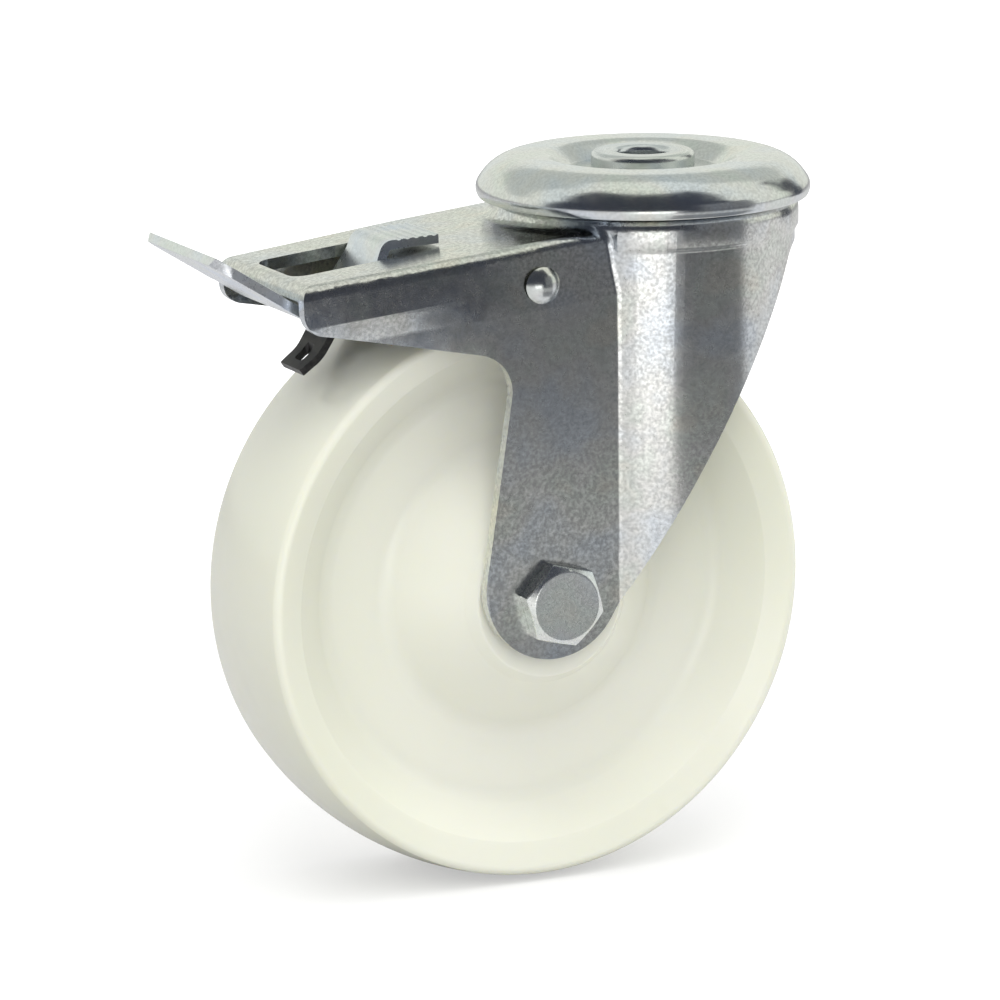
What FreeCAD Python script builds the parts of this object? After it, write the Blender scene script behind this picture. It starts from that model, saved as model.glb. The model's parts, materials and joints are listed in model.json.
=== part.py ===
import FreeCAD, Part
import math
import os
from FreeCAD import Vector

# Braked swivel castor with a bolt-hole head. Lengths are in millimetres, angles in degrees.
# The origin is the middle of the bolt hole on the mounting face, +Z runs up the swivel axis,
# +X points away from the pedal, and the head of the axle bolt is on the -Y side.

# Wheel and its place under the head
wheel_radius = 62.5
wheel_top_drop = 27.0
trail = 33.0
tread_half = 18.3
tread_slope = 10.5
tread_edge = 1.5
rim_lip_depth = 8.5
rim_lip_half = 15.6
rim_lip_round = 1.2
dish_foot_depth = 17.0
web_half = 7.5
web_width = 14.5
hub_shoulder_radius = 18.6
hub_shoulder_half = 19.6
hub_face_radius = 16.6
dish_fillet = 6.0
hub_shoulder_round = 3.0
hub_face_round = 0.8

# Head plate, hub and king pin
bolt_hole_radius = 5.5
hub_reach = 3.0
hub_height = 4.0
hub_edge = 0.6
pin_wall = 2.5
pin_rivet_reach = 2.6
pin_rivet_height = 3.4
pin_rivet_straight = 1.7
plate_sheet = 2.5
plate_overhang = 3.6
ring_height = 3.2
ring_reach = 3.4
recess_slope_run = 3.8
rim_width = 5.0
rim_drop = 5.4
rim_curl_drop = 1.5
rim_curl_in = 0.8
ring_bend = 2.6
rim_bend = 8.4
rim_curl_bend = 1.9

# Swivel bearing and swivel lock
race_clearance = 0.05
upper_ball_radius = 3.175
crown_wall_reach = 8.2
upper_ball_count = 16
lower_ball_radius = 2.38
race_spacing = 8.4
lower_ball_drop = 5.7
lower_ball_count = 12
cage_thickness = 1.0
upper_cage_half = 4.6
lower_cage_inner_half = 4.3
lower_cage_outer_half = 1.8
cage_pocket_clearance = 0.15
race_neck_wall = 2.8
race_neck_gap = 1.8
race_width_half = 4.0
race_thickness = 4.6
race_lip = 1.2
lock_tooth_reach = 3.2
lock_ring_thickness = 2.5
lock_notch_count = 16
lock_notch_depth = 3.4
lock_notch_width = 4.6
lock_notch_round = 1.0
pin_fit = 0.02

# Fork, pressed from one sheet
fork_sheet = 2.5
crown_shoulder = 4.0
crown_hole_inset = 3.0
crown_plateau_drop = 1.8
valley_rise = 45.0
plateau_bend = 2.0
crown_joint_round = 3.0
crown_joint_touch = 0.01
leg_inset = 6.0
leg_top_lean = 1.4
leg_crease_lean = 0.6
nose_length = 56.0
nose_foot_height = -13.15
nose_fall = 6.0
nose_fold = 3.2
nose_crease_half = 22.8
nose_top_lean = 0.8
nose_lower_curl = 1.6
crease_drop = 8.3
lower_band_drop = 13.5
lip_height = 3.0
crown_back_edge = -19.0
crown_back_inset = 7.7
crown_back_bend = 6.0
end_radius = 15.5
end_lift = 3.5
end_shift = 1.0
inner_corner_reach = 9.0
inner_corner_z = -37.0
inner_corner_bend = 8.5
nose_lower_rise = 10.6
nose_lower_bend = 4.6
window_front_width = 3.0
window_half = 10.6
window_corner = 3.5
window_back_corner = 1.0

# Axle
bolt_radius = 5.0
bolt_head_flats = 16.0
bolt_head_height = 4.2
bolt_turn = -14.0
bolt_hole_clearance = 0.2
bolt_overhang = 3.0
bolt_point = 0.8
hexagon_chamfer = 30.0
hexagon_face_inset = 0.7
tube_radius = 7.5
tube_wall = 2.3
nut_flats = 16.0
nut_height = 8.0
nut_collar_radius = 7.0
nut_collar_height = 2.4
nut_washer_radius = 10.0
nut_washer_thickness = 2.0
hub_washer_radius = 12.5
hub_washer_thickness = 1.2
hub_washer_gap = 0.3
roller_radius = 1.5
roller_length = 30.0
roller_count = 12
roller_play = 0.03
roller_cage_gap = 0.6
roller_cage_end = 2.5
roller_pocket_clearance = 0.12

# Brake leaf and the rivet that it rocks on
rivet_reach = 3.8
rivet_z = -22.0
rivet_radius = 2.5
rivet_head_radius = 3.9
rivet_head_height = 1.9
rivet_play = 0.08
leaf_sheet = 1.5
leaf_half = 5.8
leaf_tip_half = 5.1
saddle_side_gap = 0.5
saddle_reach = 6.5
leaf_tail_drop = 2.8
leaf_arm_drop = 1.6
leaf_foot_bend = 1.6
shoulder_reach = 14.8
shoulder_z = -30.4
shoulder_bend = 3.0
elbow_reach = 4.0
elbow_z = -36.9
elbow_bend = 9.0
tip_reach = 4.1
tip_z = -39.9
leaf_tip_round = 1.0
leaf_neck_round = 1.5
leaf_slot_half = 1.9
leaf_slot_length = 3.2
leaf_slot_margin = 1.3
leaf_slot_round = 0.8
tongue_half = 1.6
tongue_gap = 0.6
tongue_inset = 1.5

# Pedal, stamped from one sheet
pedal_sheet = 2.0
tread_width_half = 19.0
tread_outer_reach = 17.9
tread_outer_z = -12.65
tread_corner = 5.0
tread_step_reach = 3.2
arm_side_gap = 1.3
arm_inner_reach = 8.2
heel_reach = 4.8
heel_z = -26.85
heel_bend = 9.0
knee_reach = 19.9
knee_z = -27.7
knee_bend = 3.4
stem_top_reach = 25.0
stem_top_z = -14.2
stem_bend = 2.0
stem_gap = 0.5
stem_foot_half = 12.4
stem_foot_reach = 16.2
stem_foot_z = -25.0
stem_neck_z = -16.8
tab_length = 11.9
tab_rise = 0.5
tab_half = 8.0
tab_groove_count = 5
tab_groove_pitch = 2.0
tab_groove_radius = 0.8
tab_groove_depth = 0.25

# Places that follow from the sizes above, outward from the bolt hole
axle_x = -trail
axle_z = -wheel_top_drop - wheel_radius
far_below = axle_z - wheel_radius
rim_lip_radius = wheel_radius - rim_lip_depth
dish_foot_radius = wheel_radius - dish_foot_depth
hub_foot_radius = dish_foot_radius - web_width
pin_radius = bolt_hole_radius + pin_wall
hub_radius = pin_radius + hub_reach
pin_rivet_radius = pin_radius + pin_rivet_reach
race_neck_radius = pin_radius + race_neck_wall
crown_hole_radius = race_neck_radius + race_neck_gap
lower_ball_circle = crown_hole_radius + crown_hole_inset
upper_ball_circle = lower_ball_circle + race_spacing
crown_radius = upper_ball_circle + crown_wall_reach
leg_half = crown_radius - leg_inset
leg_top_half = leg_half - leg_top_lean
leg_crease_half = leg_half - leg_crease_lean
far_across = 2.0 * leg_half
nose_end = -crown_radius - nose_length
nose_top_half = nose_crease_half - nose_top_lean
nose_lower_half = nose_crease_half - nose_lower_curl
leg_front_edge = axle_x - end_radius
inner_corner_x = axle_x - inner_corner_reach
crown_back_corner = crown_radius - crown_back_inset
race_radius = lower_ball_circle + race_width_half
lock_ring_radius = race_radius + lock_tooth_reach
plate_radius = crown_radius + plate_overhang
ring_outer_radius = plate_radius - rim_width
ring_inner_radius = upper_ball_circle - ring_reach
recess_radius = ring_inner_radius - recess_slope_run
recess_floor = -hub_height
ring_top = recess_floor + ring_height
plate_seat = recess_floor - plate_sheet
upper_ball_z = ring_top - plate_sheet - race_clearance - upper_ball_radius
lower_ball_z = upper_ball_z - lower_ball_drop
race_top = lower_ball_z - race_lip
race_bottom = race_top - race_thickness
lock_ring_bottom = race_bottom - lock_ring_thickness
leg_inner = leg_half - fork_sheet
hub_half = leg_inner - hub_washer_thickness - hub_washer_gap
roller_circle = tube_radius + roller_play + roller_radius
hub_bore = roller_circle + roller_radius + roller_play
rivet_x = -crown_radius - rivet_reach
tread_outer_x = nose_end - tread_outer_reach
tread_step = nose_end - tread_step_reach
arm_half = nose_lower_half - fork_sheet - arm_side_gap
arm_inner = nose_end + arm_inner_reach
heel_x = nose_end + heel_reach
knee_x = nose_end + knee_reach
stem_foot_x = nose_end + stem_foot_reach
stem_top_x = nose_end + stem_top_reach
window_front = nose_end + window_front_width
window_back = stem_top_x + 0.5 * pedal_sheet + stem_gap
shoulder_x = nose_end + shoulder_reach
elbow_x = shoulder_x - elbow_reach
tip_x = elbow_x - tip_reach
leaf_slot_outer = tip_x + leaf_slot_margin
leaf_slot_inner = leaf_slot_outer + leaf_slot_length
tongue_x = tongue_inset - lock_ring_radius

UP = Vector(0, 0, 1)
ACROSS = Vector(0, 1, 0)
ORIGIN = Vector(0, 0, 0)


def place(plane, a, b, offset=0.0):
    """A point of the XZ, YZ or XY plane, shifted across that plane."""
    if plane == "xz":
        return Vector(a, offset, b)
    if plane == "yz":
        return Vector(offset, a, b)
    return Vector(a, b, offset)


def direction(a, b):
    """The direction from one flat point to another."""
    length = math.hypot(b[0] - a[0], b[1] - a[1])
    return ((b[0] - a[0]) / length, (b[1] - a[1]) / length)


def rounded_corner(before, corner, after, bend):
    """Start, middle and end of the arc that rounds one corner."""
    back = direction(corner, before)
    ahead = direction(corner, after)
    half = 0.5 * math.acos(back[0] * ahead[0] + back[1] * ahead[1])
    reach = bend / math.tan(half)
    depth = bend / math.sin(half) - bend
    inward = direction((0.0, 0.0), (back[0] + ahead[0], back[1] + ahead[1]))
    start = (corner[0] + reach * back[0], corner[1] + reach * back[1])
    middle = (corner[0] + depth * inward[0], corner[1] + depth * inward[1])
    end = (corner[0] + reach * ahead[0], corner[1] + reach * ahead[1])
    return start, middle, end


def outline(points, bends, plane, offset=0.0):
    """A closed wire through flat points, each corner rounded to its bend radius."""
    count = len(points)
    corners = []
    for i in range(count):
        if bends[i] > 0.0:
            corners.append(rounded_corner(points[i - 1], points[i], points[(i + 1) % count], bends[i]))
        else:
            corners.append((points[i], points[i], points[i]))
    edges = []
    for i in range(count):
        if bends[i] > 0.0:
            edges.append(Part.Arc(*[place(plane, *point, offset) for point in corners[i]]).toShape())
        a = place(plane, *corners[i][2], offset)
        b = place(plane, *corners[(i + 1) % count][0], offset)
        if (b - a).Length > 1e-6:
            edges.append(Part.LineSegment(a, b).toShape())
    return Part.Wire(edges)


def prism(points, bends, plane, low, high):
    """A block with a rounded outline, from low to high across its plane."""
    face = Part.Face(outline(points, bends, plane, low))
    return face.extrude(place(plane, 0.0, 0.0, high - low))


def turned(points, bends=None):
    """A solid turned about the swivel axis, from radius and height points."""
    face = Part.Face(outline(points, bends or [0.0] * len(points), "xz"))
    return face.revolve(ORIGIN, UP, 360)


def turned_on_axle(points, bends=None):
    """A solid turned about the axle, from radius and sideways points."""
    shape = turned(points, bends)
    shape.rotate(ORIGIN, Vector(1, 0, 0), 90)
    shape.translate(Vector(axle_x, 0, axle_z))
    return shape


def rod(radius, x, z, low, high):
    """A round rod along Y."""
    return Part.makeCylinder(radius, high - low, Vector(x, low, z), ACROSS)


def sleeve_on_axle(inner, outer, low, high):
    """A plain ring or tube about the axle, from low to high along Y."""
    return rod(outer, axle_x, axle_z, low, high).cut(rod(inner, axle_x, axle_z, low, high))


def side_line(points, distance):
    """The line beside an open line of flat points, at a distance to its left."""
    last = len(points) - 1
    shifted = []
    for i, point in enumerate(points):
        before = direction(points[max(i - 1, 0)], points[max(i, 1)])
        after = direction(points[min(i, last - 1)], points[min(i + 1, last)])
        across = (-(before[1] + after[1]), before[0] + after[0])
        scale = 2.0 * distance / (across[0] ** 2 + across[1] ** 2)
        shifted.append((point[0] + scale * across[0], point[1] + scale * across[1]))
    return shifted


def side_bends(points, bends, distance):
    """Bend radii of the line beside an open line, at a distance to its left."""
    radii = [0.0]
    for i in range(1, len(points) - 1):
        before = direction(points[i - 1], points[i])
        after = direction(points[i], points[i + 1])
        turns_left = before[0] * after[1] - before[1] * after[0] > 0.0
        radii.append(bends[i] - distance if turns_left else bends[i] + distance)
    return radii + [0.0]


def bent_sheet(points, bends, thickness):
    """Points and bend radii around a bent sheet, from the line along its middle."""
    half = 0.5 * thickness
    around = side_line(points, half) + side_line(points, -half)[::-1]
    radii = side_bends(points, bends, half) + side_bends(points, bends, -half)[::-1]
    return around, radii


def around_swivel(piece, count):
    """Copies of a piece spaced evenly around the swivel axis."""
    copies = []
    for i in range(count):
        copy = piece.copy()
        copy.rotate(ORIGIN, UP, 180.0 + 360.0 * i / count)
        copies.append(copy)
    return Part.makeCompound(copies)


def around_axle(piece, count):
    """Copies of a piece spaced evenly around the axle."""
    copies = []
    for i in range(count):
        copy = piece.copy()
        copy.rotate(Vector(axle_x, 0, axle_z), ACROSS, 360.0 * i / count)
        copies.append(copy)
    return Part.makeCompound(copies)


def top_plate():
    """Pressed round plate: a flat recess, a raised ring and a rolled rim."""
    floor = plate_seat + 0.5 * plate_sheet
    ring = ring_top - 0.5 * plate_sheet
    rim = plate_radius - 0.5 * plate_sheet
    line = [
        (pin_radius, floor),
        (recess_radius, floor),
        (ring_inner_radius, ring),
        (ring_outer_radius, ring),
        (rim, ring - rim_drop),
        (rim - rim_curl_in, ring - rim_drop - rim_curl_drop),
    ]
    bends = [0.0, ring_bend, ring_bend, rim_bend, rim_curl_bend, 0.0]
    return turned(*bent_sheet(line, bends, plate_sheet))


def king_pin():
    """Hollow rivet: the hub flange on top, the shank, and the end riveted over below."""
    shank = pin_radius - pin_fit
    end = lock_ring_bottom - pin_rivet_height
    points = [
        (bolt_hole_radius, 0.0),
        (hub_radius, 0.0),
        (hub_radius, recess_floor),
        (shank, recess_floor),
        (shank, lock_ring_bottom),
        (pin_rivet_radius, lock_ring_bottom),
        (pin_rivet_radius, lock_ring_bottom - pin_rivet_straight),
        (shank, end),
        (bolt_hole_radius, end),
    ]
    return turned(points, [0.0, hub_edge] + [0.0] * 7)


def ball_set(radius, circle, height, count):
    """Separate balls around the swivel axis."""
    return around_swivel(Part.makeSphere(radius, Vector(circle, 0, height)), count)


def ball_cage(inner, outer, radius, circle, height, count):
    """Flat ring with a round pocket for each ball."""
    low = height - 0.5 * cage_thickness
    high = low + cage_thickness
    ring = turned([(inner, low), (outer, low), (outer, high), (inner, high)])
    pocket = Part.makeCylinder(radius + cage_pocket_clearance, 2.0 * cage_thickness,
                               Vector(circle, 0, height - cage_thickness))
    return ring.cut(around_swivel(pocket, count))


def upper_balls():
    """Balls between the head plate and the valley of the crown."""
    return ball_set(upper_ball_radius, upper_ball_circle, upper_ball_z, upper_ball_count)


def upper_cage():
    """Cage that spaces the upper balls."""
    return ball_cage(upper_ball_circle - upper_cage_half, upper_ball_circle + upper_cage_half,
                     upper_ball_radius, upper_ball_circle, upper_ball_z, upper_ball_count)


def lower_balls():
    """Balls between the arch of the crown and the lower race."""
    return ball_set(lower_ball_radius, lower_ball_circle, lower_ball_z, lower_ball_count)


def lower_cage():
    """Cage that spaces the lower balls, open on its outer side."""
    return ball_cage(lower_ball_circle - lower_cage_inner_half, lower_ball_circle + lower_cage_outer_half,
                     lower_ball_radius, lower_ball_circle, lower_ball_z, lower_ball_count)


def lower_race():
    """Turned race below the crown, with the neck that spaces it from the head plate."""
    race = turned([
        (pin_radius, plate_seat),
        (race_neck_radius, plate_seat),
        (race_neck_radius, race_top),
        (race_radius, race_top),
        (race_radius, race_bottom),
        (pin_radius, race_bottom),
    ])
    groove = Part.makeTorus(lower_ball_circle, lower_ball_radius + race_clearance, Vector(0, 0, lower_ball_z))
    return race.cut(groove)


def lock_ring():
    """Flat ring with open notches around its edge, riveted under the lower race."""
    ring = turned([
        (pin_radius, lock_ring_bottom),
        (lock_ring_radius, lock_ring_bottom),
        (lock_ring_radius, race_bottom),
        (pin_radius, race_bottom),
    ])
    foot = lock_ring_radius - lock_notch_depth
    half = 0.5 * lock_notch_width
    points = [(foot, -half), (crown_radius, -half), (crown_radius, half), (foot, half)]
    bends = [lock_notch_round, 0.0, 0.0, lock_notch_round]
    notch = prism(points, bends, "xy", lock_ring_bottom, race_bottom)
    return ring.cut(around_swivel(notch, lock_notch_count))


def crown_line():
    """Middle of the crown's sheet, outward: the lower race's arch, the upper race's valley,
    the plateau and the drum's wall. The slope between the races touches both of them."""
    arch = lower_ball_radius + race_clearance + 0.5 * fork_sheet
    valley = upper_ball_radius + race_clearance + 0.5 * fork_sheet
    run = upper_ball_circle - lower_ball_circle
    rise = upper_ball_z - lower_ball_z
    touch = math.atan2(rise, run) + math.acos((arch + valley) / math.hypot(run, rise))
    arch_z = lower_ball_z + arch
    arch_corner = lower_ball_circle + arch * math.tan(0.5 * (0.5 * math.pi - touch))
    climb = math.radians(valley_rise)
    slope_side = touch + math.pi
    climb_side = 1.5 * math.pi + climb
    middle = 0.5 * (slope_side + climb_side)
    reach = valley / math.cos(0.5 * (climb_side - slope_side))
    valley_x = upper_ball_circle + reach * math.cos(middle)
    valley_z = upper_ball_z + reach * math.sin(middle)
    plateau = upper_ball_z - crown_plateau_drop - 0.5 * fork_sheet
    wall = crown_radius - 0.5 * fork_sheet
    points = [
        (0.0, arch_z),
        (arch_corner, arch_z),
        (valley_x, valley_z),
        (valley_x + (plateau - valley_z) / math.tan(climb), plateau),
        (wall, plateau),
        (wall, far_below),
    ]
    bends = [0.0, arch, valley, plateau_bend, crown_shoulder - 0.5 * fork_sheet, 0.0]
    return points, bends


def crown_form(inset):
    """The crown and its drum as a filled form, inset from the outside of the sheet."""
    points, bends = crown_line()
    shift = 0.5 * fork_sheet - inset
    line = side_line(points, shift)
    radii = side_bends(points, bends, shift)
    return turned(line + [(0.0, far_below)], radii + [0.0])


def nose_height(x):
    """Height of the nose's top face at a place along the castor."""
    return nose_foot_height + (x + crown_radius) * math.tan(math.radians(nose_fall))


def flange_share(x):
    """How far a place lies from the nose's end, where 1 is the front edge of the legs."""
    return min((x - nose_end) / (leg_front_edge - nose_end), 1.0)


def flange_section(x, inset):
    """Section across the nose or the legs: a flat top and folded sides with a crease."""
    share = flange_share(x)
    top_half = nose_top_half + share * (leg_top_half - nose_top_half) - inset
    crease_half = nose_crease_half + share * (leg_crease_half - nose_crease_half) - inset
    lower_half = nose_lower_half + share * (leg_half - nose_lower_half) - inset
    side = [
        (top_half, nose_height(x) - inset),
        (crease_half, nose_height(x) - crease_drop),
        (lower_half, nose_height(x) - lower_band_drop),
        (lower_half, far_below),
    ]
    other_side = [(-y, z) for y, z in side[::-1]]
    fold = nose_fold - inset
    return outline(side + other_side, [fold] + [0.0] * 6 + [fold], "yz", x)


def flange_form(inset, front):
    """The nose and the legs as a filled form, inset from the outside of the sheet."""
    stations = [front, leg_front_edge, 0.0]
    return Part.makeLoft([flange_section(x, inset) for x in stations], True, True)


def nose_front_form(inset):
    """Block that rounds the front edge of the nose's top face."""
    front = nose_end + inset
    back = crown_radius
    points = [
        (front, nose_height(front) - inset),
        (front, far_below),
        (back, far_below),
        (back, nose_height(back) - inset),
    ]
    return prism(points, [nose_fold - inset, 0.0, 0.0, 0.0], "xz", -far_across, far_across)


def filled_form(inset):
    """Crown, nose and legs together, inset from the outside of the sheet, with a fillet
    where the nose and the legs run into the drum: along the edges with both ends on its wall."""
    nose = flange_form(inset, nose_end + inset).common(nose_front_form(inset))
    form = crown_form(inset).fuse(nose)
    wall = crown_radius - inset
    joint = []
    for edge in form.Edges:
        off_wall = max(abs(math.hypot(end.X, end.Y) - wall) for end in edge.Vertexes)
        is_circle = edge.Curve.TypeId == "Part::GeomCircle"
        if off_wall < crown_joint_touch and not is_circle and edge.BoundBox.XMax < 0.0:
            joint.append(edge)
    return form.makeFillet(crown_joint_round + inset, joint)


def touch_point(point, centre, radius, side):
    """Where a line from a flat point touches a circle, on the given side."""
    run = point[0] - centre[0]
    rise = point[1] - centre[1]
    angle = math.atan2(rise, run) + side * math.acos(radius / math.hypot(run, rise))
    return (centre[0] + radius * math.cos(angle), centre[1] + radius * math.sin(angle))


def fork_side_form():
    """Block with the fork's outline as seen from the side."""
    centre = (axle_x - end_shift, axle_z + end_lift)
    inner = (inner_corner_x, inner_corner_z)
    back = (crown_back_corner, crown_back_edge)
    nose_low = inner_corner_z + (inner_corner_x - nose_end) * math.tan(math.radians(nose_lower_rise))
    beyond = crown_radius + fork_sheet
    points = [
        inner,
        (nose_end, nose_low),
        (nose_end, fork_sheet),
        (beyond, fork_sheet),
        (beyond, crown_back_edge),
        back,
        touch_point(back, centre, end_radius, -1.0),
        touch_point(inner, centre, end_radius, 1.0),
    ]
    bends = [inner_corner_bend, nose_lower_bend, 0.0, 0.0, 0.0, crown_back_bend, 0.0, 0.0]
    body = prism(points, bends, "xz", -far_across, far_across)
    return body.fuse(rod(end_radius, centre[0], centre[1], -far_across, far_across))


def nose_window():
    """Rounded opening in the nose's top face that the pedal's stem comes through."""
    points = [
        (window_front, -window_half),
        (window_back, -window_half),
        (window_back, window_half),
        (window_front, window_half),
    ]
    bends = [window_corner, window_back_corner, window_back_corner, window_corner]
    return prism(points, bends, "xy", nose_height(nose_end) - 2.0 * fork_sheet, fork_sheet)


def nose_throat():
    """Opening in the nose's front, under its turned-down lip."""
    below_lip = Part.makeBox(2.0 * fork_sheet, 2.0 * far_across, nose_height(nose_end) - lip_height - far_below,
                             Vector(nose_end - fork_sheet, -far_across, far_below))
    return flange_form(fork_sheet, nose_end - fork_sheet).common(below_lip)


def fork():
    """Pressed fork: crown and drum, legs, sloping nose, window and holes."""
    shell = filled_form(0.0).common(fork_side_form()).cut(filled_form(fork_sheet))
    holes = [
        nose_window(),
        nose_throat(),
        Part.makeCylinder(crown_hole_radius, crown_radius, Vector(0, 0, -crown_radius)),
        rod(bolt_radius + bolt_hole_clearance, axle_x, axle_z, -far_across, far_across),
        rod(rivet_radius + pin_fit, rivet_x, rivet_z, -far_across, far_across),
    ]
    for hole in holes:
        shell = shell.cut(hole)
    return shell.removeSplitter()


def wheel():
    """One moulded wheel: crowned tread, dished sides, web and conical hub."""
    slope = math.radians(tread_slope)
    crown_bend = (tread_half - 2.0 * tread_edge) / math.sin(slope)
    crown_corner = wheel_radius + crown_bend * (1.0 / math.cos(slope) - 1.0)
    side = [
        (crown_corner - tread_half * math.tan(slope), tread_half),
        (rim_lip_radius, rim_lip_half),
        (dish_foot_radius, web_half),
        (hub_foot_radius, web_half),
        (hub_shoulder_radius, hub_shoulder_half),
        (hub_face_radius, hub_half),
        (hub_bore, hub_half),
    ]
    side_radii = [tread_edge, rim_lip_round, dish_fillet, dish_fillet, hub_shoulder_round, hub_face_round, 0.0]
    points = [(crown_corner, 0.0)] + side + [(r, -y) for r, y in side[::-1]]
    return turned_on_axle(points, [crown_bend] + side_radii + side_radii[::-1])


def axle_tube():
    """Tube that the fork's legs are clamped on and the rollers run on."""
    return sleeve_on_axle(tube_radius - tube_wall, tube_radius, -leg_inner, leg_inner)


def hub_washers():
    """Two flat washers between the hub's ends and the legs."""
    inner = tube_radius + pin_fit
    near = leg_inner - hub_washer_thickness
    return Part.makeCompound([
        sleeve_on_axle(inner, hub_washer_radius, -leg_inner, -near),
        sleeve_on_axle(inner, hub_washer_radius, near, leg_inner),
    ])


def bearing_rollers():
    """Separate rollers between the axle tube and the hub's bore."""
    half = 0.5 * roller_length
    return around_axle(rod(roller_radius, axle_x + roller_circle, axle_z, -half, half), roller_count)


def roller_cage():
    """Sleeve with a long pocket for each roller."""
    half = 0.5 * roller_length + roller_cage_end
    sleeve = sleeve_on_axle(tube_radius + roller_cage_gap, hub_bore - roller_cage_gap, -half, half)
    pocket_half = 0.5 * roller_length + roller_pocket_clearance
    pocket_radius = roller_radius + roller_pocket_clearance
    pocket = rod(pocket_radius, axle_x + roller_circle, axle_z, -pocket_half, pocket_half)
    return sleeve.cut(around_axle(pocket, roller_count))


def hexagon(flats, seat, height, outward, turn):
    """Hexagonal block on the axle with a chamfered outer face, standing on its seat."""
    corner = flats / math.sqrt(3.0)
    points = []
    for i in range(6):
        angle = math.radians(60.0 * i + turn)
        points.append((axle_x + corner * math.cos(angle), axle_z + corner * math.sin(angle)))
    low = min(seat, seat + outward * height)
    block = prism(points, [0.0] * 6, "xz", low, low + height)
    face_radius = 0.5 * flats - hexagon_face_inset
    foot_radius = face_radius + height / math.tan(math.radians(hexagon_chamfer))
    face = Vector(axle_x, seat + outward * height, axle_z)
    cone = Part.makeCone(face_radius, foot_radius, height, face, Vector(0, -outward, 0))
    return block.common(cone)


def axle_bolt():
    """Hexagon bolt through both legs, with its head on the -Y side."""
    end = leg_half + nut_washer_thickness + nut_height + bolt_overhang
    shank = turned_on_axle([
        (0.0, leg_half),
        (bolt_radius, leg_half),
        (bolt_radius, bolt_point - end),
        (bolt_radius - bolt_point, -end),
        (0.0, -end),
    ])
    return hexagon(bolt_head_flats, -leg_half, bolt_head_height, -1.0, bolt_turn).fuse(shank)


def nut_washer():
    """Washer under the nut, on the +Y side."""
    return sleeve_on_axle(bolt_radius + pin_fit, nut_washer_radius, leg_half, leg_half + nut_washer_thickness)


def axle_nut():
    """Locking nut: a hexagon with a low round collar."""
    seat = leg_half + nut_washer_thickness
    hexagon_height = nut_height - nut_collar_height
    body = hexagon(nut_flats, seat, hexagon_height, 1.0, 0.0)
    collar = rod(nut_collar_radius, axle_x, axle_z, seat, seat + nut_height)
    return body.fuse(collar).cut(rod(bolt_radius + pin_fit, axle_x, axle_z, seat, seat + nut_height))


def pivot_rivet():
    """Rivet across the fork with a domed head on each side."""
    shank = rod(rivet_radius, rivet_x, rivet_z, -leg_half, leg_half)
    dome_radius = (rivet_head_radius ** 2 + rivet_head_height ** 2) / (2.0 * rivet_head_height)
    for side in (-1.0, 1.0):
        centre = side * (leg_half + rivet_head_height - dome_radius)
        dome = Part.makeSphere(dome_radius, Vector(rivet_x, centre, rivet_z))
        ends = sorted((side * leg_half, side * (leg_half + rivet_head_height)))
        shank = shank.fuse(dome.common(rod(rivet_head_radius, rivet_x, rivet_z, *ends)))
    return shank.removeSplitter()


def leaf_line():
    """Middle of the leaf, from the tongue over the rivet to the curled tip."""
    saddle = rivet_radius + rivet_play + 0.5 * leaf_sheet
    tail_z = rivet_z - leaf_tail_drop
    points = [
        (tongue_x, lock_ring_bottom - tongue_gap),
        (tongue_x, tail_z),
        (rivet_x + saddle, tail_z),
        (rivet_x + saddle, rivet_z + saddle),
        (rivet_x - saddle, rivet_z + saddle),
        (rivet_x - saddle, rivet_z - leaf_arm_drop),
        (shoulder_x, shoulder_z),
        (elbow_x, elbow_z),
        (tip_x, tip_z),
    ]
    saddle_bends = [leaf_foot_bend, saddle, saddle, leaf_foot_bend]
    return points, [0.0, leaf_foot_bend] + saddle_bends + [shoulder_bend, elbow_bend, 0.0]


def brake_leaf():
    """Spring-steel leaf: a tongue, a wide saddle over the rivet, an arm and a slotted tip."""
    around, radii = bent_sheet(*leaf_line(), leaf_sheet)
    strip = prism(around, radii, "xz", -leg_inner, leg_inner)
    saddle_half = flange_inner_half(rivet_x) - saddle_side_gap
    saddle_out = rivet_x - saddle_reach
    saddle_in = rivet_x + saddle_reach
    side = [
        (tip_x - 0.5 * leaf_sheet, leaf_tip_half),
        (shoulder_x, leaf_half),
        (saddle_out - leaf_half, leaf_half),
        (saddle_out, saddle_half),
        (saddle_in, saddle_half),
        (saddle_in + leaf_half, tongue_half),
        (tongue_x + leaf_sheet, tongue_half),
    ]
    side_radii = [leaf_tip_round, 0.0] + [leaf_neck_round] * 4 + [0.0]
    plan = prism(side + [(x, -y) for x, y in side[::-1]], side_radii + side_radii[::-1], "xy", far_below, 0.0)
    slot = prism([
        (leaf_slot_outer, -leaf_slot_half),
        (leaf_slot_inner, -leaf_slot_half),
        (leaf_slot_inner, leaf_slot_half),
        (leaf_slot_outer, leaf_slot_half),
    ], [leaf_slot_round] * 4, "xy", far_below, shoulder_z)
    return strip.common(plan).cut(slot)


def flange_inner_half(x):
    """Clear half width between the nose's flanges at their narrow upper edge."""
    share = flange_share(x)
    return nose_top_half + share * (leg_top_half - nose_top_half) - fork_sheet


def pedal_line():
    """Middle of the pedal's sheet, from the tread's outer edge to the end of the tab."""
    points = [
        (tread_outer_x, tread_outer_z),
        (heel_x, heel_z),
        (knee_x, knee_z),
        (stem_top_x, stem_top_z),
        (stem_top_x + tab_length, stem_top_z + tab_rise),
    ]
    return points, [0.0, heel_bend, knee_bend, stem_bend, 0.0]


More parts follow.
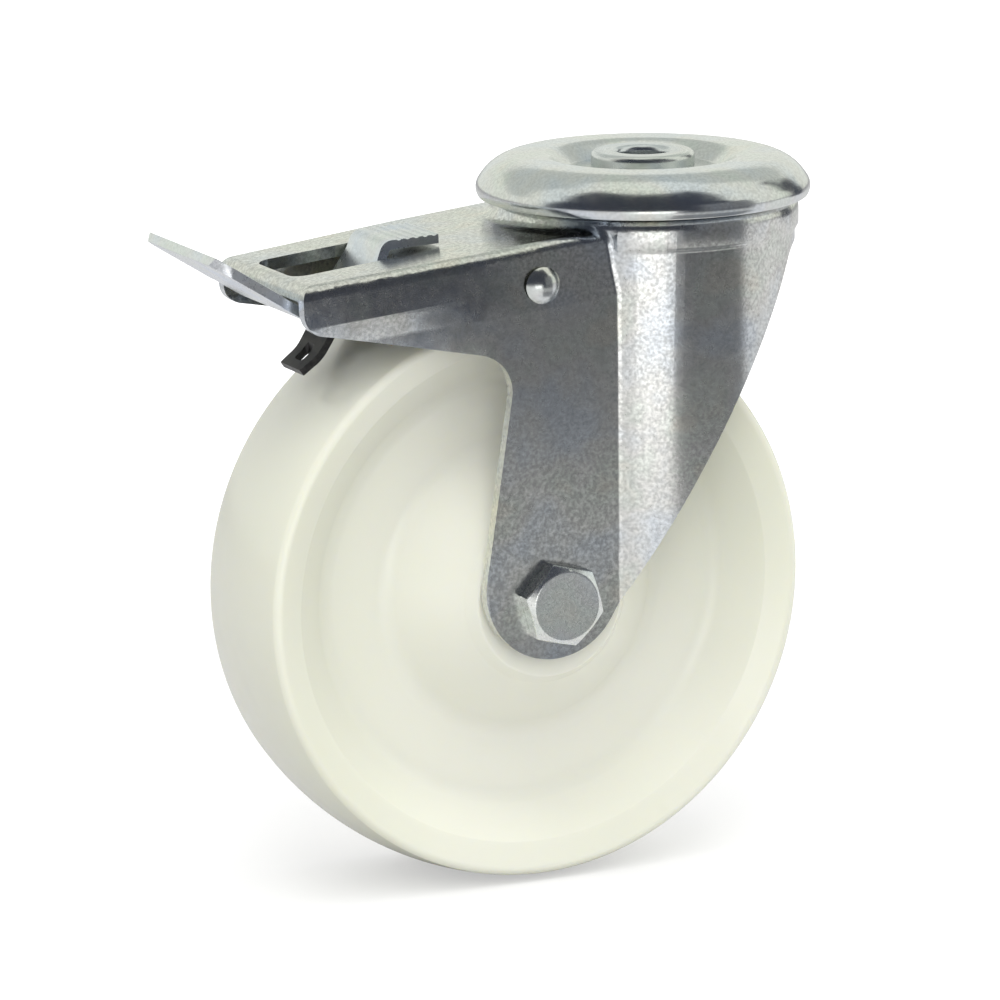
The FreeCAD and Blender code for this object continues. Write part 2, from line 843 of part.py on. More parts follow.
def brake_pedal():
    """Stamped pedal: tread, arm under the nose, tapered stem and ribbed release tab."""
    around, radii = bent_sheet(*pedal_line(), pedal_sheet)
    strip = prism(around, radii, "xz", -tread_width_half, tread_width_half)
    outside = tread_outer_x - pedal_sheet
    side = [
        (outside, tread_width_half),
        (tread_step, tread_width_half),
        (tread_step, arm_half),
        (arm_inner, arm_half),
        (stem_foot_x, stem_foot_half),
    ]
    plan = prism(side + [(x, -y) for x, y in side[::-1]], [0.0] * 10, "xy", far_below, 0.0)
    stem_side = [
        (stem_foot_half, far_below),
        (stem_foot_half, stem_foot_z),
        (tab_half, stem_neck_z),
        (tab_half, 0.0),
    ]
    stem = prism(stem_side + [(-y, z) for y, z in stem_side[::-1]], [0.0] * 8, "yz", stem_foot_x, 0.0)
    pedal = strip.common(plan.fuse(stem))
    return round_tread(pedal).cut(tab_grooves())


def round_tread(pedal):
    """The pedal with the two outer corners of its tread rounded."""
    edge = tread_outer_x - 0.5 * pedal_sheet
    outer = prism([
        (edge, -tread_width_half),
        (0.0, -tread_width_half),
        (0.0, tread_width_half),
        (edge, tread_width_half),
    ], [tread_corner, 0.0, 0.0, tread_corner], "xy", far_below, 0.0)
    return pedal.common(outer)


def tab_grooves():
    """Shallow grooves across the top of the release tab."""
    grooves = []
    rise = tab_rise / tab_length
    for i in range(tab_groove_count):
        along = tab_length - (i + 1) * tab_groove_pitch + 0.5 * tab_groove_pitch
        top = stem_top_z + rise * along + 0.5 * pedal_sheet
        height = top + tab_groove_radius - tab_groove_depth
        grooves.append(rod(tab_groove_radius, stem_top_x + along, height, -tread_width_half, tread_width_half))
    return Part.makeCompound(grooves)


pieces = [
    top_plate,
    king_pin,
    upper_balls,
    upper_cage,
    lower_balls,
    lower_cage,
    lower_race,
    lock_ring,
    fork,
    wheel,
    bearing_rollers,
    roller_cage,
    axle_tube,
    hub_washers,
    axle_bolt,
    nut_washer,
    axle_nut,
    pivot_rivet,
    brake_leaf,
    brake_pedal,
]

os.makedirs("parts", exist_ok=True)
for piece in pieces:
    piece().exportStep("parts/" + piece.__name__ + ".step")
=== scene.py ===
import bmesh
import bpy
import json
import math
from mathutils import Matrix, Vector


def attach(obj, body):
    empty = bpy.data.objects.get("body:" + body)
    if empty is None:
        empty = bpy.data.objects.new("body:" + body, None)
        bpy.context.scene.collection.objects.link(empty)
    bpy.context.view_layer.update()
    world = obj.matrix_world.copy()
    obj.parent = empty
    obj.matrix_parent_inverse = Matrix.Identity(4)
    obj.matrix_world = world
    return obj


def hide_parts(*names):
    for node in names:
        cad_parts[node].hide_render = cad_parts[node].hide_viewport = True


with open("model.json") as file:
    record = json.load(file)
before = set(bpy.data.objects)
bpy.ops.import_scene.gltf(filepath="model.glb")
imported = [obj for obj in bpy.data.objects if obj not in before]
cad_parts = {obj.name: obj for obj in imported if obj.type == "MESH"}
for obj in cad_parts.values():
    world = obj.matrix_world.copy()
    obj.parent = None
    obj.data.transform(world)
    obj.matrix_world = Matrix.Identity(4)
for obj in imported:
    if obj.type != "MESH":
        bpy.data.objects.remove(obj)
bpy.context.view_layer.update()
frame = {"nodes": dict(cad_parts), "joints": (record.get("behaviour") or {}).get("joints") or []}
scene = bpy.context.scene


# Head plate: round plate pressed from 2.5 mm sheet steel, with a flat recess, a raised ring and
# a rolled rim, zinc plated. It is held on the hub's flange and carries the upper balls below.
smooth_below = math.radians(40.0)


def rounded(points, bends, steps=8):
    """A closed flat line through the points, each corner rounded to its bend radius."""
    line = []
    for i, bend in enumerate(bends):
        corner = Vector(points[i])
        back = (Vector(points[i - 1]) - corner).normalized()
        ahead = (Vector(points[(i + 1) % len(points)]) - corner).normalized()
        half = 0.5 * back.angle(ahead)
        centre = corner + (back + ahead).normalized() * (bend / math.sin(half))
        reach = bend / math.tan(half)
        for step in range(steps + 1 if bend else 1):
            spoke = (corner + back * reach).lerp(corner + ahead * reach, step / steps) - centre
            line.append(centre + spoke.normalized() * bend if bend else corner)
    return line


def turned(name, line, steps, place=Matrix.Identity(4)):
    """A piece turned about Z from a closed line of radius and height in millimetres, then placed."""
    made = bmesh.new()
    rings = []
    for step in range(steps):
        angle = 2.0 * math.pi * step / steps
        side = Vector((math.cos(angle), math.sin(angle), 0.0))
        ring = [side * (radius / 1000) + Vector((0, 0, height / 1000)) for radius, height in line]
        rings.append([made.verts.new(point) for point in ring])
    for step in range(steps):
        for i in range(len(line)):
            before, after = rings[step - 1], rings[step]
            made.faces.new((before[i - 1], after[i - 1], after[i], before[i]))
    bmesh.ops.recalc_face_normals(made, faces=made.faces)
    mesh = bpy.data.meshes.new(name)
    made.to_mesh(mesh)
    made.free()
    mesh.transform(place)
    mesh.shade_smooth()
    mesh.set_sharp_from_angle(angle=smooth_below)
    piece = bpy.data.objects.new(name, mesh)
    scene.collection.objects.link(piece)
    return piece


def add(tree, kind, inputs=None, **settings):
    """A node with its inputs set to values or linked from other nodes' outputs."""
    made = tree.nodes.new(kind)
    for key, value in settings.items():
        setattr(made, key, value)
    for key, value in (inputs or {}).items():
        if isinstance(value, bpy.types.NodeSocket):
            tree.links.new(value, made.inputs[key])
        else:
            made.inputs[key].default_value = value
    return made


def reckon(tree, operation, *values):
    """A number worked out from up to three values."""
    return add(tree, "ShaderNodeMath", dict(enumerate(values)), operation=operation).outputs[0]


def combine(tree, operation, *values):
    """A vector or colour worked out from two others."""
    made = add(tree, "ShaderNodeVectorMath", dict(enumerate(values)), operation=operation)
    return made.outputs["Vector"]


def length(tree, vector):
    """The length of a vector."""
    return add(tree, "ShaderNodeVectorMath", {0: vector}, operation="LENGTH").outputs["Value"]


def noise(tree, place, scale, detail):
    """A cloudy value between 0 and 1 at a place."""
    return add(tree, "ShaderNodeTexNoise", {"Vector": place, "Scale": scale, "Detail": detail}).outputs["Fac"]


def ramp(tree, share, stops):
    """A colour ramp through (position, colour) stops. The two ends come first."""
    made = add(tree, "ShaderNodeValToRGB", {"Fac": share})
    for i, (position, colour) in enumerate(stops):
        stop = made.color_ramp.elements[i] if i < 2 else made.color_ramp.elements.new(position)
        stop.position = position
        stop.color = (*colour, 1.0)
    return made.outputs["Color"]


def spread(tree, share, low, high, to_low, to_high):
    """A value stretched from one range to another and held inside it."""
    names = {"Value": share, "From Min": low, "From Max": high, "To Min": to_low, "To Max": to_high}
    return add(tree, "ShaderNodeMapRange", names).outputs["Result"]


def new_skin(name):
    """A new material with its node tree and the place on the piece that its patterns follow."""
    made = bpy.data.materials.new(name)
    made.use_nodes = True
    return made, made.node_tree, add(made.node_tree, "ShaderNodeTexCoord").outputs["Object"]


def dress(tree, colour, roughness, height=None, depth=0.0):
    """Give a material's shader its colour, its roughness and, with a height, its relief."""
    shader = tree.nodes["Principled BSDF"]
    tree.links.new(colour, shader.inputs["Base Color"])
    tree.links.new(roughness, shader.inputs["Roughness"])
    if height is not None:
        bump = add(tree, "ShaderNodeBump", {"Height": height, "Distance": depth, "Strength": 1.0})
        tree.links.new(bump.outputs["Normal"], shader.inputs["Normal"])
    return shader


def group(name, inputs, outputs):
    """An empty shader node group with its named sockets."""
    tree = bpy.data.node_groups.new(name, "ShaderNodeTree")
    for label, kind in inputs:
        tree.interface.new_socket(name=label, in_out="INPUT", socket_type=kind)
    for label, kind in outputs:
        tree.interface.new_socket(name=label, in_out="OUTPUT", socket_type=kind)
    return tree, tree.nodes.new("NodeGroupInput").outputs, tree.nodes.new("NodeGroupOutput").inputs


# Bright zinc plate over sheet steel: slow tints of blue, straw and green, and a fine mottled grain
# from the pickled sheet that shows as pale and dark flecks. Each piece has a hue of its own.
zinc_tree, zinc_in, zinc_out = group(
    "zinc_skin",
    [
        ("Place", "NodeSocketVector"), ("Grain", "NodeSocketFloat"),
        ("Gloss", "NodeSocketFloat"), ("Fleck", "NodeSocketFloat"), ("Hue", "NodeSocketColor"),
    ],
    [("Color", "NodeSocketColor"), ("Roughness", "NodeSocketFloat"), ("Height", "NodeSocketFloat")],
)
zinc_blotch_depth = 0.35
zinc_slow = noise(zinc_tree, zinc_in["Place"], 70.0, 3.0)
zinc_blotch = noise(zinc_tree, zinc_in["Place"], 420.0, 4.0)
zinc_grain = noise(zinc_tree, zinc_in["Place"], zinc_in["Grain"], 3.0)
zinc_tint = ramp(zinc_tree, zinc_slow, [
    (0.34, (0.72, 0.77, 0.83)),
    (0.68, (0.80, 0.80, 0.75)),
    (0.44, (0.76, 0.79, 0.81)),
    (0.52, (0.78, 0.79, 0.78)),
    (0.60, (0.76, 0.80, 0.77)),
])
zinc_pale = spread(zinc_tree, zinc_grain, 0.36, 0.64, 0.0, 1.08)
zinc_rest = reckon(zinc_tree, "SUBTRACT", 1.0, zinc_in["Fleck"])
zinc_speck = reckon(zinc_tree, "MULTIPLY_ADD", zinc_pale, zinc_in["Fleck"], zinc_rest)
zinc_dyed = combine(zinc_tree, "MULTIPLY", zinc_tint, zinc_in["Hue"])
zinc_shade = combine(zinc_tree, "MULTIPLY", zinc_dyed, zinc_speck)
zinc_cloud = spread(zinc_tree, zinc_blotch, 0.30, 0.70, -0.03, 0.03)
zinc_dull = spread(zinc_tree, zinc_grain, 0.30, 0.70, 0.05, -0.04)
zinc_uneven = reckon(zinc_tree, "ADD", zinc_cloud, zinc_dull)
zinc_rough = reckon(zinc_tree, "ADD", zinc_uneven, zinc_in["Gloss"])
zinc_relief = reckon(zinc_tree, "MULTIPLY_ADD", zinc_blotch, zinc_blotch_depth, zinc_grain)
for label, value in (("Color", zinc_shade), ("Roughness", zinc_rough), ("Height", zinc_relief)):
    zinc_tree.links.new(value, zinc_out[label])


def zinc(name, grain, gloss, relief, fleck, hue=(1.0, 1.0, 1.0), round_axis=None):
    """Zinc-plated steel. With a point and the directions across an axis, its grain runs in rings."""
    made, tree, place = new_skin(name)
    ring_break = 0.16
    if round_axis:
        away = combine(tree, "SUBTRACT", place, round_axis[0])
        reach = length(tree, combine(tree, "MULTIPLY", away, round_axis[1]))
        rings = add(tree, "ShaderNodeCombineXYZ", {"X": reach}).outputs["Vector"]
        soft = combine(tree, "MULTIPLY", place, (ring_break, ring_break, ring_break))
        place = combine(tree, "ADD", rings, soft)
    skin = add(tree, "ShaderNodeGroup", {
        "Place": place, "Grain": grain, "Gloss": gloss, "Fleck": fleck, "Hue": (*hue, 1.0),
    }, node_tree=zinc_tree).outputs
    shader = dress(tree, skin["Color"], skin["Roughness"], skin["Height"], relief)
    shader.inputs["Metallic"].default_value = 1.0
    return made


plate_line = rounded([
    (8.0, -6.5), (17.256, -6.5), (21.056, -3.3), (30.146, -3.3), (33.088, -7.536), (32.647, -8.362),
    (34.853, -9.538), (36.012, -7.364), (31.454, -0.8), (20.144, -0.8), (16.344, -4.0), (8.0, -4.0),
], [0.0, 3.85, 1.35, 7.15, 0.65, 0.3, 0.45, 3.15, 9.65, 3.85, 1.35, 0.0])
plate = turned("head_plate", plate_line, steps=256)
plate.data.materials.append(zinc("zinc_head_skin", grain=1500.0, gloss=0.19, relief=0.000004, fleck=0.12))
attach(plate, "head")
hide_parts("top_plate")


# King pin: the hollow rivet of turned steel whose flange is the hub in the recess. Its bore takes
# the mounting bolt and has a rounded mouth; the lower end is riveted over the lock ring.
upright = ((0, 0, 0), (1, 1, 0))
pin_line = rounded([
    (5.5, 0.0), (11.0, 0.0), (11.0, -4.0), (7.98, -4.0), (7.98, -20.525), (10.6, -20.525),
    (10.6, -22.225), (7.98, -23.925), (5.5, -23.925),
], [1.3, 1.3, 0.0, 0.0, 0.0, 0.3, 0.8, 0.5, 0.4])
pin = turned("king_pin_hub", pin_line, steps=192)
pin_skin = zinc("zinc_pin_skin", grain=1800.0, gloss=0.27, relief=0.000004, fleck=0.1, round_axis=upright)
pin.data.materials.append(pin_skin)
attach(pin, "head")
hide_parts("king_pin")


# Swivel bearing: two rings of hardened balls, above and below the fork's crown, each spaced by a
# flat moulded cage. Only a glimpse of them shows between the head plate and the crown.
bearing_steel, bearing_tree, bearing_place = new_skin("bearing_steel_skin")
bearing_noise = noise(bearing_tree, bearing_place, 900.0, 4.0)
bearing_tint = ramp(bearing_tree, bearing_noise, [(0.3, (0.66, 0.67, 0.69)), (0.7, (0.78, 0.79, 0.80))])
bearing_shader = dress(bearing_tree, bearing_tint, spread(bearing_tree, bearing_noise, 0.3, 0.7, 0.08, 0.22))
bearing_shader.inputs["Metallic"].default_value = 1.0

cage_plastic, cage_tree, cage_place = new_skin("cage_plastic_skin")
cage_noise = noise(cage_tree, cage_place, 700.0, 5.0)
cage_tint = ramp(cage_tree, cage_noise, [(0.3, (0.016, 0.016, 0.018)), (0.7, (0.034, 0.034, 0.036))])
dress(cage_tree, cage_tint, spread(cage_tree, cage_noise, 0.3, 0.7, 0.42, 0.6), cage_noise, 0.00001)

for cad_name, skin in (
    ("upper_balls", bearing_steel), ("lower_balls", bearing_steel), ("bearing_rollers", bearing_steel),
    ("upper_cage", cage_plastic), ("lower_cage", cage_plastic), ("roller_cage", cage_plastic),
):
    frame["nodes"][cad_name].data.materials[0] = skin


# Lower race, lock ring and axle tube: turned and stamped steel, zinc plated. The race is clamped
# on the king pin below the crown and the toothed ring that locks the swivel lies under it.
def from_cad(cad_name, name, body, skin, edge, angle=30.0, reshape=None):
    """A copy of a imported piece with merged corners, clean flats and edges broken to a width."""
    merged_within, flat_within = 0.000002, math.radians(1.0)
    made = bmesh.new()
    made.from_mesh(frame["nodes"][cad_name].data)
    bmesh.ops.remove_doubles(made, verts=made.verts, dist=merged_within)
    bmesh.ops.dissolve_limit(made, angle_limit=flat_within, verts=made.verts, edges=made.edges)
    bmesh.ops.recalc_face_normals(made, faces=made.faces)
    if reshape:
        reshape(made)
    mesh = bpy.data.meshes.new(name)
    made.to_mesh(mesh)
    made.free()
    for stale in [a for a in mesh.attributes if a.name in ("custom_normal", "sharp_edge", "sharp_face")]:
        mesh.attributes.remove(stale)
    mesh.shade_smooth()
    piece = bpy.data.objects.new(name, mesh)
    scene.collection.objects.link(piece)
    mesh.materials.append(skin)
    bevel = piece.modifiers.new("broken_edges", "BEVEL")
    bevel.width = edge
    bevel.segments = 2
    bevel.limit_method = "ANGLE"
    bevel.angle_limit = math.radians(angle)
    bevel.use_clamp_overlap = True
    mesh.set_sharp_from_angle(angle=math.radians(angle))
    flats = piece.modifiers.new("true_flats", "WEIGHTED_NORMAL")
    flats.keep_sharp = True
    flats.weight = 80
    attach(piece, body)
    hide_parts(cad_name)
    return piece


axle_centre = next(joint["pos_m"] for joint in frame["joints"] if joint["name"] == "wheel_spin")
axle_line = (axle_centre, (1, 0, 1))
race_skin = zinc("zinc_race_skin", grain=1600.0, gloss=0.3, relief=0.000008, fleck=0.2, round_axis=upright)
from_cad("lower_race", "lower_race_ring", "head", race_skin, 0.0002)
from_cad("lock_ring", "toothed_lock_ring", "head", race_skin, 0.0002)
axle_skin = zinc("zinc_axle_skin", grain=1600.0, gloss=0.28, relief=0.000006, fleck=0.2, round_axis=axle_line)
from_cad("axle_tube", "clamped_axle_tube", "fork", axle_skin, 0.0002)
from_cad("hub_washers", "hub_end_washers", "fork", axle_skin, 0.0002)


# Fork: one piece of 2.5 mm sheet steel pressed into a round crown, two legs and a sloping nose
# with a window, zinc plated. The mottled grain of the sheet shows on the legs.
crown_wall, bend_centre, bend_height = 0.0322, 0.0281, -0.0123
band_bottom, band_middle, band_top, band_rise = -0.0170, -0.0162, -0.0154, 0.0008
nose_start = -0.0192


def cut_ring(made, place, normal):
    """A ring of new edges where a plane crosses the mesh."""
    everything = made.verts[:] + made.edges[:] + made.faces[:]
    bmesh.ops.bisect_plane(made, geom=everything, dist=0.000005, plane_co=place, plane_no=normal)


def widen_crown_band(made):
    """Press the crown's upper band a little wider than the drum below it, all round to the nose."""
    bend = crown_wall - bend_centre
    hair, wall_slack, bend_slack = 0.0001, 0.00045, 0.00025
    for height in (band_bottom, band_middle, band_top):
        cut_ring(made, (0, 0, height), (0, 0, 1))
    for vert in made.verts:
        radius = math.hypot(vert.co.x, vert.co.y)
        below_bend, in_band = vert.co.z < bend_height + hair, vert.co.z > band_bottom - hair
        on_wall = below_bend and in_band and abs(radius - crown_wall) < wall_slack
        off_bend = abs(math.hypot(radius - bend_centre, vert.co.z - bend_height) - bend)
        on_bend = not below_bend and off_bend < bend_slack
        if vert.co.x < nose_start or not (on_wall or on_bend):
            continue
        if on_wall:
            share = min(1.0, (vert.co.z - band_bottom) / (band_top - band_bottom))
        else:
            share = max(0.0, radius - bend_centre) / bend
        share = share * share * (3.0 - 2.0 * share)
        vert.co.x *= 1.0 + band_rise * share / radius
        vert.co.y *= 1.0 + band_rise * share / radius


fork_hue = (1.0, 0.985, 0.96)
fork_skin = zinc("zinc_fork_skin", grain=1350.0, gloss=0.22, relief=0.000011, fleck=0.26, hue=fork_hue)
from_cad("fork", "pressed_fork", "fork", fork_skin, 0.00025, reshape=widen_crown_band)


# Wheel: one moulding of cream-white polyamide with a crowned tread, dished sides and a conical
# hub. The plastic is glossy and lets a little light through, so its hollows glow warm.
wheel_place = Matrix.Translation(axle_centre) @ Matrix.Rotation(math.radians(90.0), 4, "X")
tread_crown, tread_bend = (63.93, 0.0), 84.0
wheel_side = [
    (60.54, 18.3), (54.0, 15.6), (45.5, 7.5), (31.0, 7.5), (18.6, 19.6), (16.6, 22.2), (10.57, 22.2),
]
side_bends = [1.5, 1.2, 6.0, 6.0, 3.0, 0.8, 0.5]
wheel_points = [tread_crown] + wheel_side + [(radius, -half) for radius, half in wheel_side[::-1]]
wheel_line = rounded(wheel_points, [tread_bend] + side_bends + side_bends[::-1], 14)
wheel = turned("moulded_wheel", wheel_line, 288, wheel_place)
wheel_skin, wheel_tree, wheel_spot = new_skin("polyamide_skin")
wheel_slow = noise(wheel_tree, wheel_spot, 14.0, 0.0)
wheel_wave = noise(wheel_tree, wheel_spot, 60.0, 1.0)
wheel_fine = noise(wheel_tree, wheel_spot, 900.0, 1.0)
wheel_tint = ramp(wheel_tree, wheel_slow, [(0.3, (0.80, 0.81, 0.68)), (0.7, (0.86, 0.86, 0.77))])
wheel_rough = spread(wheel_tree, wheel_wave, 0.3, 0.7, 0.20, 0.265)
wheel_shader = dress(wheel_tree, wheel_tint, wheel_rough, wheel_fine, 0.0000012)
wheel_shader.inputs["Subsurface Weight"].default_value = 0.35
wheel_shader.inputs["Subsurface Radius"].default_value = (1.0, 0.9, 0.6)
wheel_shader.inputs["Subsurface Scale"].default_value = 0.004
wheel_shader.inputs["Coat Weight"].default_value = 0.15
wheel_shader.inputs["Coat Roughness"].default_value = 0.12
wheel.data.materials.append(wheel_skin)
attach(wheel, "wheel")
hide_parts("wheel")


# Axle bolt, washer and locking nut: bought steel fasteners, bright zinc plated. The bolt's head is
# on the near side; the thread shows only past the nut on the far side.
bolt_hue = (1.14, 1.14, 1.13)
bolt_skin = zinc("zinc_bolt_skin", grain=1700.0, gloss=0.26, relief=0.000003, fleck=0.1, hue=bolt_hue)
thread_core, thread_crest, thread_pitch = 0.0042, 0.005, 0.0015
thread_start, thread_end, thread_neck = 0.0325, 0.0386, 0.0005
axle_x, axle_z = axle_centre[0], axle_centre[2]


def neck_thread_end(made):
    """Turn the bolt's far end down to the thread's core, from inside the nut."""
    hair = 0.0001
    for place in (thread_start - thread_neck, thread_start):
        cut_ring(made, (0, place, 0), (0, 1, 0))
    for vert in made.verts:
        across, up = vert.co.x - axle_x, vert.co.z - axle_z
        radius = math.hypot(across, up)
        if vert.co.y > thread_start - hair and radius > thread_core:
            vert.co.x = across * thread_core / radius + axle_x
            vert.co.z = up * thread_core / radius + axle_z


from_cad("axle_bolt", "hexagon_bolt", "fork", bolt_skin, 0.0002, 20.0, neck_thread_end)
from_cad("nut_washer", "flat_washer", "fork", bolt_skin, 0.0002)
from_cad("axle_nut", "locking_nut", "fork", bolt_skin, 0.0002, 20.0)

# The thread is one ridge wound round the core, made as a swept path of pitch, core and crest.
thread_sizes = {
    "Pitch": thread_pitch, "Core": thread_core, "Crest": thread_crest, "Length": thread_end - thread_start,
}
thread_tree = bpy.data.node_groups.new("wound_thread", "GeometryNodeTree")
for label in thread_sizes:
    thread_tree.interface.new_socket(name=label, in_out="INPUT", socket_type="NodeSocketFloat")
thread_tree.interface.new_socket(name="Finish", in_out="INPUT", socket_type="NodeSocketMaterial")
thread_tree.interface.new_socket(name="Geometry", in_out="OUTPUT", socket_type="NodeSocketGeometry")
thread_in = thread_tree.nodes.new("NodeGroupInput").outputs
thread_path = add(thread_tree, "GeometryNodeCurveSpiral", {
    "Resolution": 48, "Rotations": reckon(thread_tree, "DIVIDE", thread_in["Length"], thread_in["Pitch"]),
    "Start Radius": thread_in["Core"], "End Radius": thread_in["Core"], "Height": thread_in["Length"],
}).outputs["Curve"]
thread_upright = add(
    thread_tree, "GeometryNodeSetCurveNormal", {"Curve": thread_path}, mode="Z_UP",
).outputs["Curve"]
thread_profile = add(thread_tree, "GeometryNodeCurvePrimitiveCircle", {
    "Resolution": 4, "Radius": reckon(thread_tree, "SUBTRACT", thread_in["Crest"], thread_in["Core"]),
}).outputs["Curve"]
thread_swept = add(thread_tree, "GeometryNodeCurveToMesh", {
    "Curve": thread_upright, "Profile Curve": thread_profile, "Fill Caps": True,
}).outputs["Mesh"]
thread_whole = add(
    thread_tree, "GeometryNodeRealizeInstances", {"Geometry": thread_swept},
).outputs["Geometry"]
thread_done = add(thread_tree, "GeometryNodeSetMaterial", {
    "Geometry": thread_whole, "Material": thread_in["Finish"],
}).outputs["Geometry"]
thread_tree.links.new(thread_done, thread_tree.nodes.new("NodeGroupOutput").inputs["Geometry"])

thread_maker = bpy.data.objects.new("thread_path", bpy.data.meshes.new("thread_path"))
scene.collection.objects.link(thread_maker)
thread_modifier = thread_maker.modifiers.new("wound_thread", "NODES")
thread_modifier.node_group = thread_tree
for socket in thread_tree.interface.items_tree:
    if socket.in_out == "INPUT":
        thread_modifier[socket.identifier] = thread_sizes.get(socket.name, bolt_skin)
thread_ready = thread_maker.evaluated_get(bpy.context.evaluated_depsgraph_get())
thread_mesh = bpy.data.meshes.new_from_object(thread_ready)
bpy.data.objects.remove(thread_maker)
thread_turn = Matrix.Rotation(math.radians(-90.0), 4, "X")
thread_mesh.transform(Matrix.Translation((axle_x, thread_start, axle_z)) @ thread_turn)
thread_mesh.set_sharp_from_angle(angle=smooth_below)
thread = bpy.data.objects.new("bolt_thread", thread_mesh)
scene.collection.objects.link(thread)
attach(thread, "fork")


# Pivot rivet: plain steel rivet with a domed head on each side of the nose, zinc plated. The leaf
# rocks on it.
rivet_skin = zinc("zinc_rivet_skin", grain=1700.0, gloss=0.22, relief=0.000003, fleck=0.1)
from_cad("pivot_rivet", "domed_rivet", "fork", rivet_skin, 0.00015)


# Brake leaf: blackened spring steel, 1.5 mm thick, that the pedal presses towards the tread and
# the lock ring. Its slotted tip shows under the nose.
leaf_skin, leaf_tree, leaf_spot = new_skin("black_spring_skin")
leaf_noise = noise(leaf_tree, leaf_spot, 900.0, 5.0)
leaf_tint = ramp(leaf_tree, leaf_noise, [(0.3, (0.022, 0.022, 0.024)), (0.7, (0.06, 0.058, 0.056))])
leaf_rough = spread(leaf_tree, leaf_noise, 0.3, 0.7, 0.28, 0.46)
leaf_shader = dress(leaf_tree, leaf_tint, leaf_rough, leaf_noise, 0.000012)
leaf_shader.inputs["Metallic"].default_value = 0.7
from_cad("brake_leaf", "spring_leaf", "leaf", leaf_skin, 0.0002)


# Brake pedal: one 2 mm sheet-steel stamping, zinc plated, with the tread plate outside, an arm
# under the nose, and a stem through the window that ends in the ribbed release tab.
pedal_hue = (1.05, 1.06, 1.1)
pedal_skin = zinc("zinc_pedal_skin", grain=1500.0, gloss=0.3, relief=0.000004, fleck=0.1, hue=pedal_hue)
from_cad("brake_pedal", "stamped_pedal", "pedal", pedal_skin, 0.0003)


# Floor, light and camera: a plain white studio with four soft lights. The metal mirrors a pale
# world and the cards and mats round the castor, which only reflections see. To the camera the
# floor glows, more so further out, so that it is white and keeps the shadow.
floor_height, floor_reach = -0.15205, 8.0


def make_matt(shader):
    """Take the gloss off a stage shader and set its glow to full strength."""
    shader.inputs["Roughness"].default_value = 1.0
    shader.inputs["Specular IOR Level"].default_value = 0.0
    shader.inputs["Emission Strength"].default_value = 1.0


floor_mesh = bpy.data.meshes.new("studio_floor")
floor_sides = ((-1, -1), (1, -1), (1, 1), (-1, 1))
floor_corners = [(floor_reach * x, floor_reach * y, floor_height) for x, y in floor_sides]
floor_mesh.from_pydata(floor_corners, [], [(0, 1, 2, 3)])
floor = bpy.data.objects.new("studio_floor", floor_mesh)
scene.collection.objects.link(floor)
floor_skin, floor_tree, floor_spot = new_skin("floor_skin")
floor_shader = floor_tree.nodes["Principled BSDF"]
floor_seen = add(floor_tree, "ShaderNodeLightPath").outputs["Is Camera Ray"]
floor_colour = ramp(floor_tree, floor_seen, [(0.0, (0.62, 0.62, 0.62)), (1.0, (0.54, 0.54, 0.533))])
floor_white = spread(floor_tree, length(floor_tree, floor_spot), 0.17, 0.6, 0.46, 0.9)
floor_glow = reckon(floor_tree, "MULTIPLY", floor_white, floor_seen)
floor_tree.links.new(floor_colour, floor_shader.inputs["Base Color"])
floor_tree.links.new(floor_glow, floor_shader.inputs["Emission Color"])
make_matt(floor_shader)
floor_mesh.materials.append(floor_skin)

world = bpy.data.worlds.new("studio")
scene.world = world
world.use_nodes = True
world_tree = world.node_tree
world_path = add(world_tree, "ShaderNodeLightPath").outputs
world_stops = [(0.0, (0.64, 0.64, 0.65)), (1.0, (0.84, 0.86, 0.79))]
world_mirrored = ramp(world_tree, world_path["Is Glossy Ray"], world_stops)
world_colour = combine(world_tree, "MAXIMUM", world_mirrored, world_path["Is Camera Ray"])
world_tree.links.new(world_colour, world_tree.nodes["Background"].inputs["Color"])


def soft_light(name, azimuth, elevation, distance, width, height, power):
    """A soft rectangular light that faces the castor from a direction in degrees."""
    lit_point = Vector((-0.033, 0, -0.08))
    a, e = math.radians(azimuth), math.radians(elevation)
    away = Vector((math.sin(a) * math.cos(e), -math.cos(a) * math.cos(e), math.sin(e)))
    data = bpy.data.lights.new(name, "AREA")
    data.shape = "RECTANGLE"
    data.size, data.size_y, data.energy = width, height, power
    light = bpy.data.objects.new(name, data)
    scene.collection.objects.link(light)
    light.location = lit_point + away * distance
    light.rotation_mode = "QUATERNION"
    light.rotation_quaternion = away.to_track_quat("Z", "Y")
    light.visible_camera = light.visible_glossy = False


def card(name, first, last, near, far, colour):
    """A curved card between two azimuths and two rings of (radius, height), only for reflections."""
    corners = []
    steps = 16
    for step in range(steps + 1):
        a = math.radians(first + (last - first) * step / steps)
        corners += [(radius * math.sin(a), -radius * math.cos(a), height) for radius, height in (near, far)]
    mesh = bpy.data.meshes.new(name)
    mesh.from_pydata(corners, [], [(2 * i, 2 * i + 2, 2 * i + 3, 2 * i + 1) for i in range(steps)])
    made = bpy.data.objects.new(name, mesh)
    scene.collection.objects.link(made)
    skin = bpy.data.materials.new(name + "_skin")
    skin.use_nodes = True
    shader = skin.node_tree.nodes["Principled BSDF"]
    shader.inputs["Base Color"].default_value = (0, 0, 0, 1)
    shader.inputs["Emission Color"].default_value = (*colour, 1.0)
    make_matt(shader)
    mesh.materials.append(skin)
    made.visible_camera = made.visible_diffuse = made.visible_shadow = made.visible_transmission = False


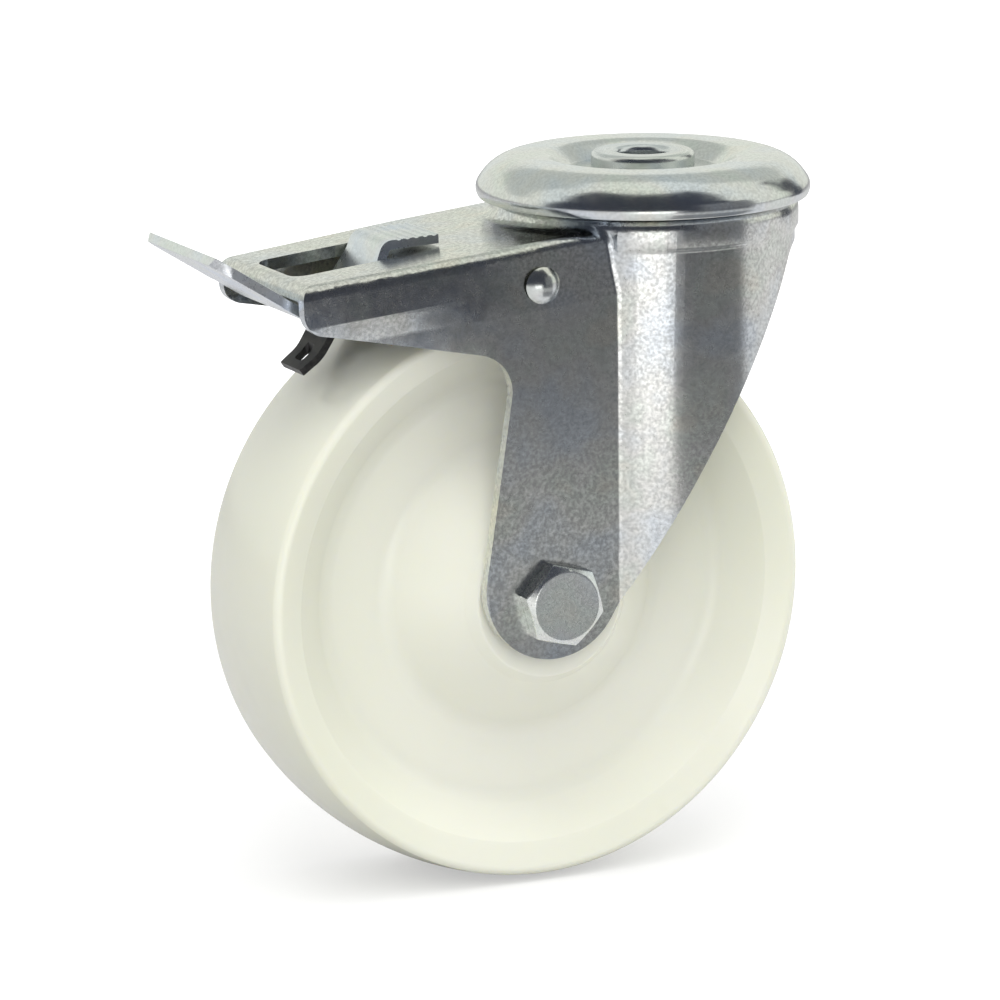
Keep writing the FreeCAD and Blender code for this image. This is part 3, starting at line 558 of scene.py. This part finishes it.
soft_light("top_light", -20.0, 74.0, 1.3, 1.1, 1.1, 9.0)
soft_light("front_light", -22.0, 30.0, 1.2, 0.6, 0.9, 4.4)
soft_light("right_light", 88.0, 18.0, 1.2, 0.5, 1.0, 3.0)
soft_light("back_light", 160.0, 35.0, 1.3, 0.9, 0.9, 2.5)
dark, card_foot, mat_height = (0.05, 0.055, 0.07), floor_height + 0.003, floor_height + 0.002
card("dark_left", -95.0, 0.0, (0.62, -0.03), (0.62, 0.36), dark)
card("dark_nose", -4.5, 14.0, (0.42, -0.075), (0.42, 0.24), dark)
card("low_nose", -4.5, 14.0, (0.42, card_foot), (0.42, -0.075), (0.12, 0.125, 0.135))
card("grey_right", 14.0, 53.0, (0.42, -0.03), (0.42, 0.24), (0.18, 0.185, 0.195))
card("low_right", 14.0, 53.0, (0.42, card_foot), (0.42, -0.03), (0.14, 0.145, 0.155))
card("grey_behind", 100.0, 235.0, (0.6, 0.3), (0.28, 0.62), (0.56, 0.59, 0.55))
card("dark_above", -95.0, 45.0, (0.62, 0.36), (0.24, 0.68), dark)
card("dark_far_right", 93.0, 112.0, (0.6, -0.1), (0.6, 0.5), (0.06, 0.065, 0.08))
card("bright_strip", -33.0, -3.5, (0.5, card_foot), (0.5, -0.03), (1.7, 1.7, 1.7))
card("grey_mat", 0.0, 56.0, (0.24, mat_height), (0.41, mat_height), (0.5, 0.51, 0.51))
card("dark_mat", -5.0, 60.0, (0.1, mat_height), (0.24, mat_height), (0.22, 0.23, 0.24))

camera_turn, camera_rise, camera_roll = 0.437, 0.213, -0.009
camera_target, camera_distance = Vector((-0.03404, 0.0, -0.07254)), 1.4088
camera_data = bpy.data.cameras.new("camera")
camera_data.lens, camera_data.sensor_width = 239.5, 36.0
camera_data.clip_start, camera_data.clip_end = 0.05, 50.0
camera = bpy.data.objects.new("camera", camera_data)
scene.collection.objects.link(camera)
camera_way = Vector((
    -math.sin(camera_turn) * math.cos(camera_rise),
    -math.cos(camera_turn) * math.cos(camera_rise),
    math.sin(camera_rise),
))
camera_tilt = Matrix.Rotation(camera_roll, 3, "Z").to_quaternion()
camera.location = camera_target + camera_way * camera_distance
camera.rotation_mode = "QUATERNION"
camera.rotation_quaternion = camera_way.to_track_quat("Z", "Y") @ camera_tilt
scene.camera = camera
scene.view_settings.view_transform = "Standard"
